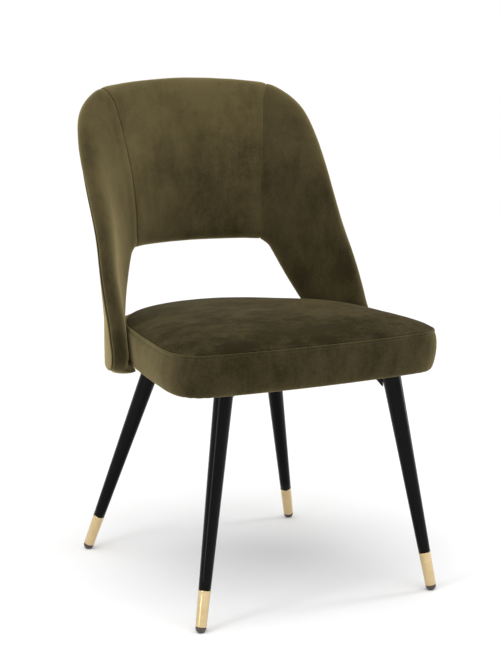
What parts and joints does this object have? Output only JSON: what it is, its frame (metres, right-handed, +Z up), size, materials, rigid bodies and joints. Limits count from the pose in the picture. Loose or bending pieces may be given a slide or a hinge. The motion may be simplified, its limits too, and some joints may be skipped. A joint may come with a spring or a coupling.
{
  "type": "upholstered dining chair",
  "caption": "Dining chair with a padded velvet shell back that is open above the seat, a boxed seat cushion and splayed black steel legs with gold ferrules.",
  "frame": {"origin": "centre of the bounding box on the floor", "axes": "+Z up, +X to the right of someone looking at the front from the front, the chair faces -Y"},
  "size_m": [0.5218, 0.5536, 0.8701],
  "materials": {
    "velvet": "short pile velvet, dark olive",
    "plywood": "raw birch plywood",
    "foam": "cut foam and wadding",
    "felt": "non-woven black lining",
    "zinc": "zinc plated",
    "gold": "polished pale gold",
    "glide_plastic": "dark grey-brown moulded plastic",
    "black_steel": "satin black powder coat"
  },
  "bodies": {
    "root": {"seat_board": "plywood", "seat_foam": "foam", "seat_top_panel": "velvet", "seat_side_band": "velvet", "dust_cover": "felt", "dust_cover_staples": "zinc", "back_ply": "plywood", "back_foam_inner": "foam", "back_foam_outer": "foam", "back_cover_centre": "velvet", "back_cover_wing_left": "velvet", "back_cover_wing_right": "velvet", "back_cover_outer": "velvet", "shell_screws": "zinc", "cross_bar_main": "black_steel", "cross_bar_front_half": "black_steel", "cross_bar_rear_half": "black_steel", "frame_gussets": "black_steel", "frame_bolts": "zinc", "frame_washers": "zinc", "tee_nuts": "zinc", "leg_tube_front_left": "black_steel", "leg_tube_front_right": "black_steel", "leg_tube_rear_left": "black_steel", "leg_tube_rear_right": "black_steel", "leg_cap_front_left": "black_steel", "leg_cap_front_right": "black_steel", "leg_cap_rear_left": "black_steel", "leg_cap_rear_right": "black_steel", "ferrule_front_left": "gold", "ferrule_front_right": "gold", "ferrule_rear_left": "gold", "ferrule_rear_right": "gold", "glide_front_left": "glide_plastic", "glide_front_right": "glide_plastic", "glide_rear_left": "glide_plastic", "glide_rear_right": "glide_plastic"}
  },
  "joints": []
}
